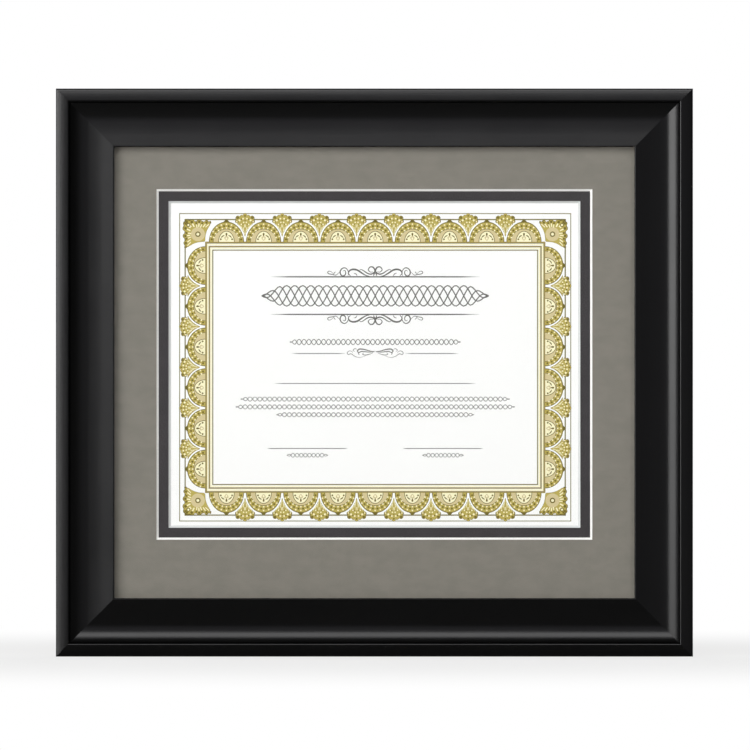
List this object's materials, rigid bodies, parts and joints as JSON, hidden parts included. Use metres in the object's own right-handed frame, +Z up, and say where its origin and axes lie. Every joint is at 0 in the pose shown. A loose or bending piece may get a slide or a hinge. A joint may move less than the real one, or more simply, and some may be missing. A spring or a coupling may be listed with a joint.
{
  "type": "certificate frame",
  "caption": "Wall frame with a black scooped moulding, glass, a double mat and a bordered certificate, closed at the back by turn buttons and hung on a sawtooth hanger.",
  "frame": {"origin": "root of the sawtooth hanger's central notch, in the plane of the wall that the bumpers rest on", "axes": "+X to the right as seen from the front, +Y into the wall, +Z up; the front faces -Y"},
  "size_m": [0.4148, 0.0239, 0.3699],
  "materials": {
    "black_lacquer": "satin black lacquer over solid wood",
    "picture_glass": "clear, low reflection",
    "grey_matboard": "matte warm grey face paper, white core",
    "charcoal_matboard": "matte charcoal face paper, white core",
    "certificate_paper": "white paper with a gold printed border",
    "gummed_tape": "gummed paper tape",
    "linen_tape": "gummed linen tape",
    "bond_tape": "double-sided adhesive tape",
    "mount_board": "white conservation board",
    "foam_board": "white foam-cored board",
    "hardboard": "brown pressed hardboard",
    "zinc_steel": "zinc plated",
    "brass_plate": "brass plated steel",
    "bumper_rubber": "matte black rubber"
  },
  "bodies": {
    "frame": {"top_rail": "black_lacquer", "bottom_rail": "black_lacquer", "left_stile": "black_lacquer", "right_stile": "black_lacquer", "corner_v_nails": "zinc_steel", "glazing": "picture_glass", "top_mat": "grey_matboard", "mat_bond_tape": "bond_tape", "bottom_mat": "charcoal_matboard", "certificate": "certificate_paper", "certificate_hinges": "gummed_tape", "mat_hinge_tape": "linen_tape", "mount_board": "mount_board", "filler_board": "foam_board", "backing_panel": "hardboard", "turn_button_screws": "zinc_steel", "sawtooth_hanger": "brass_plate", "hanger_screws": "brass_plate", "wall_bumpers": "bumper_rubber"},
    "button_top_left": {"turn_button_top_left": "zinc_steel"},
    "button_top_right": {"turn_button_top_right": "zinc_steel"},
    "button_bottom_left": {"turn_button_bottom_left": "zinc_steel"},
    "button_bottom_right": {"turn_button_bottom_right": "zinc_steel"},
    "button_left_upper": {"turn_button_left_upper": "zinc_steel"},
    "button_left_lower": {"turn_button_left_lower": "zinc_steel"},
    "button_right_upper": {"turn_button_right_upper": "zinc_steel"},
    "button_right_lower": {"turn_button_right_lower": "zinc_steel"}
  },
  "joints": [
    {"name": "button_top_left_turn", "type": "hinge", "parent": "frame", "child": "button_top_left", "pos_m": [-0.095, -0.0034, -0.007], "axis": [0, 1, 0], "continuous": true},
    {"name": "button_top_right_turn", "type": "hinge", "parent": "frame", "child": "button_top_right", "pos_m": [0.095, -0.0034, -0.007], "axis": [0, 1, 0], "continuous": true},
    {"name": "button_bottom_left_turn", "type": "hinge", "parent": "frame", "child": "button_bottom_left", "pos_m": [-0.095, -0.0034, -0.3289], "axis": [0, 1, 0], "continuous": true},
    {"name": "button_bottom_right_turn", "type": "hinge", "parent": "frame", "child": "button_bottom_right", "pos_m": [0.095, -0.0034, -0.3289], "axis": [0, 1, 0], "continuous": true},
    {"name": "button_left_upper_turn", "type": "hinge", "parent": "frame", "child": "button_left_upper", "pos_m": [-0.1834, -0.0034, -0.08795], "axis": [0, 1, 0], "continuous": true},
    {"name": "button_left_lower_turn", "type": "hinge", "parent": "frame", "child": "button_left_lower", "pos_m": [-0.1834, -0.0034, -0.24795], "axis": [0, 1, 0], "continuous": true},
    {"name": "button_right_upper_turn", "type": "hinge", "parent": "frame", "child": "button_right_upper", "pos_m": [0.1834, -0.0034, -0.08795], "axis": [0, 1, 0], "continuous": true},
    {"name": "button_right_lower_turn", "type": "hinge", "parent": "frame", "child": "button_right_lower", "pos_m": [0.1834, -0.0034, -0.24795], "axis": [0, 1, 0], "continuous": true}
  ]
}
